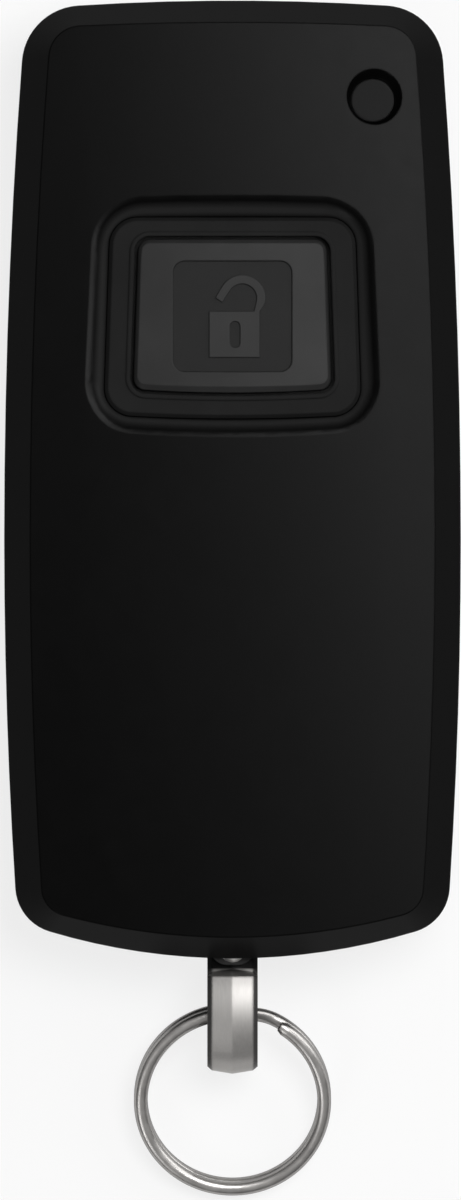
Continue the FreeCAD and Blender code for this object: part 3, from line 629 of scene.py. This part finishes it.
def level_loop(mesh, centre, z, radius_at):
    """A closed loop of points at one height, its radius a function of the turn."""
    points = []
    for i in range(SCREW["sides"]):
        turn = 2 * math.pi * i / SCREW["sides"]
        r = radius_at(turn)
        points.append(mesh.verts.new((centre[0] + r * math.cos(turn),
                                      centre[1] + r * math.sin(turn), z)))
    return points


def hexagon_radius(turn, corner):
    """Distance from the middle to the side of a hexagon, whose corners lie at a radius."""
    away = (turn + math.pi / 6) % (math.pi / 3) - math.pi / 6
    return corner * math.cos(math.pi / 6) / math.cos(away)


def screws():
    """Four cap screws with rounded heads and six-sided sockets, seen from the back."""
    low, radius, edge = SCREW["low"], SCREW["radius"], SCREW["edge"]
    socket, chamfer = SCREW["socket"], SCREW["chamfer"]
    quarter = [math.pi / 2 * i / SCREW["edge_steps"] for i in range(SCREW["edge_steps"] + 1)]
    outside = [(radius - edge + edge * math.sin(a), low + edge - edge * math.cos(a))
               for a in quarter]
    outside += [(radius, SCREW["seat"]), (SCREW["shank"], SCREW["seat"]),
                (SCREW["shank"], SCREW["seat"] + SCREW["length"])]
    inside = [(socket + chamfer, low), (socket, low + chamfer),
              (socket, low + SCREW["socket_depth"])]
    mesh = bmesh.new()
    for centre in SCREW_PLACES:
        rings = [level_loop(mesh, centre, z, lambda turn: r) for r, z in outside]
        hexagons = [level_loop(mesh, centre, z, lambda turn: hexagon_radius(turn, corner))
                    for corner, z in inside]
        bridge(mesh, hexagons[::-1] + rings)
        mesh.faces.new(hexagons[-1])
        mesh.faces.new(list(reversed(rings[-1])))
    bmesh.ops.recalc_face_normals(mesh, faces=mesh.faces)
    bmesh.ops.scale(mesh, vec=(MM, MM, MM), verts=mesh.verts)
    made = piece_of(mesh, "socket_screws", "case", "screw_steel", SHARP_SCREW)
    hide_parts("case_screws")


def pressed_membrane():
    """The rubber membrane under the button, copied in place of the original."""
    made = place_piece("pressed_membrane", nodes["button_membrane"].data.copy(), "case",
                       "membrane_rubber")
    sharp_by_angle(made)
    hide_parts("button_membrane")
    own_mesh(made)


# ---------------------------------------------------------------- studio, in metres and watts

# The studio's brightness against the sine of the height above the horizon
SKY = [(0.0, 0.97), (0.038, 0.97), (0.065, 0.05), (0.35, 0.05), (0.65, 0.3), (1.0, 0.3)]
FLOOR_HALF = 1.5
FLOOR_TONE = 0.85
# How far the floor is plain white to the camera: the rest shows the shadow
FLOOR_WHITE = 0.8
LAMPS = {
    "key": {"place": (0.117, 0.094, 0.537), "side": 0.224, "power": 1.9},
    "fill": {"place": (0.5, 0.22, 0.3), "side": 0.4, "power": 1.2},
    "kick": {"place": (-0.3, -0.5, 0.5), "side": 0.2, "power": 0.5},
}
LAMP_TARGET = Vector((0, -0.005, 0.01))


def floor_material():
    """Pale floor: nearly white to the camera, with a soft trace of the object's shadow."""
    finish = Finish("pale_floor")
    finish.tree.nodes.remove(finish.shader)
    diffuse = finish.node("ShaderNodeBsdfDiffuse", Color=grey(FLOOR_TONE))
    glow = finish.node("ShaderNodeEmission", Color=grey(1.0), Strength=1.0)
    path = finish.node("ShaderNodeLightPath")
    seen = finish.maths("MAXIMUM", path.outputs["Is Camera Ray"], path.outputs["Is Glossy Ray"])
    seen = finish.maths("MAXIMUM", seen, path.outputs["Is Transmission Ray"])
    mix = finish.node("ShaderNodeMixShader")
    finish.link(finish.maths("MULTIPLY", seen, FLOOR_WHITE), mix.inputs[0])
    finish.link(diffuse.outputs[0], mix.inputs[1])
    finish.link(glow.outputs[0], mix.inputs[2])
    finish.link(mix.outputs[0], finish.out.inputs["Surface"])
    return finish.made


def floor():
    half = FLOOR_HALF
    mesh = bpy.data.meshes.new("floor")
    mesh.from_pydata([(-half, -half, 0), (half, -half, 0), (half, half, 0), (-half, half, 0)],
                     [], [(0, 1, 2, 3)])
    mesh.materials.append(floor_material())
    made = add_object("floor", mesh)


def lamps():
    for name, lamp in LAMPS.items():
        data = bpy.data.lights.new(name, "AREA")
        data.shape = "SQUARE"
        data.size = lamp["side"]
        data.energy = lamp["power"]
        made = add_object(name, data)
        made.location = lamp["place"]
        made.rotation_mode = "QUATERNION"
        made.rotation_quaternion = (LAMP_TARGET - made.location).to_track_quat("-Z", "Y")


def sky():
    """A bright horizon, a dark band above it and a dim top."""
    world = bpy.data.worlds.new("studio")
    bpy.context.scene.world = world
    world.use_nodes = True
    tree = world.node_tree
    where = tree.nodes.new("ShaderNodeTexCoord")
    split = tree.nodes.new("ShaderNodeSeparateXYZ")
    ramp = tree.nodes.new("ShaderNodeValToRGB")
    background = tree.nodes["Background"]
    tree.links.new(where.outputs["Generated"], split.inputs[0])
    tree.links.new(split.outputs["Z"], ramp.inputs["Fac"])
    tree.links.new(ramp.outputs["Color"], background.inputs["Color"])
    background.inputs["Strength"].default_value = 1.0
    stops = ramp.color_ramp.elements
    for stop, (height, level) in zip(stops, (SKY[0], SKY[-1])):
        stop.position, stop.color = height, grey(level)
    for height, level in SKY[1:-1]:
        stops.new(height).color = grey(level)


def camera():
    data = bpy.data.cameras.new("camera")
    data.sensor_width = SENSOR
    frame_height = IMAGE_HEIGHT_PX / PX_PER_MM * MM
    data.lens = SENSOR * CAMERA_DISTANCE / frame_height
    made = add_object("camera", data)
    made.location = IMAGE_MIDDLE + Vector((0, 0, CAMERA_DISTANCE))
    bpy.context.scene.camera = made


open_padlock()
split_ring()
screws()
pressed_membrane()
floor()
lamps()
sky()
camera()
bpy.context.scene.view_settings.view_transform = "Standard"
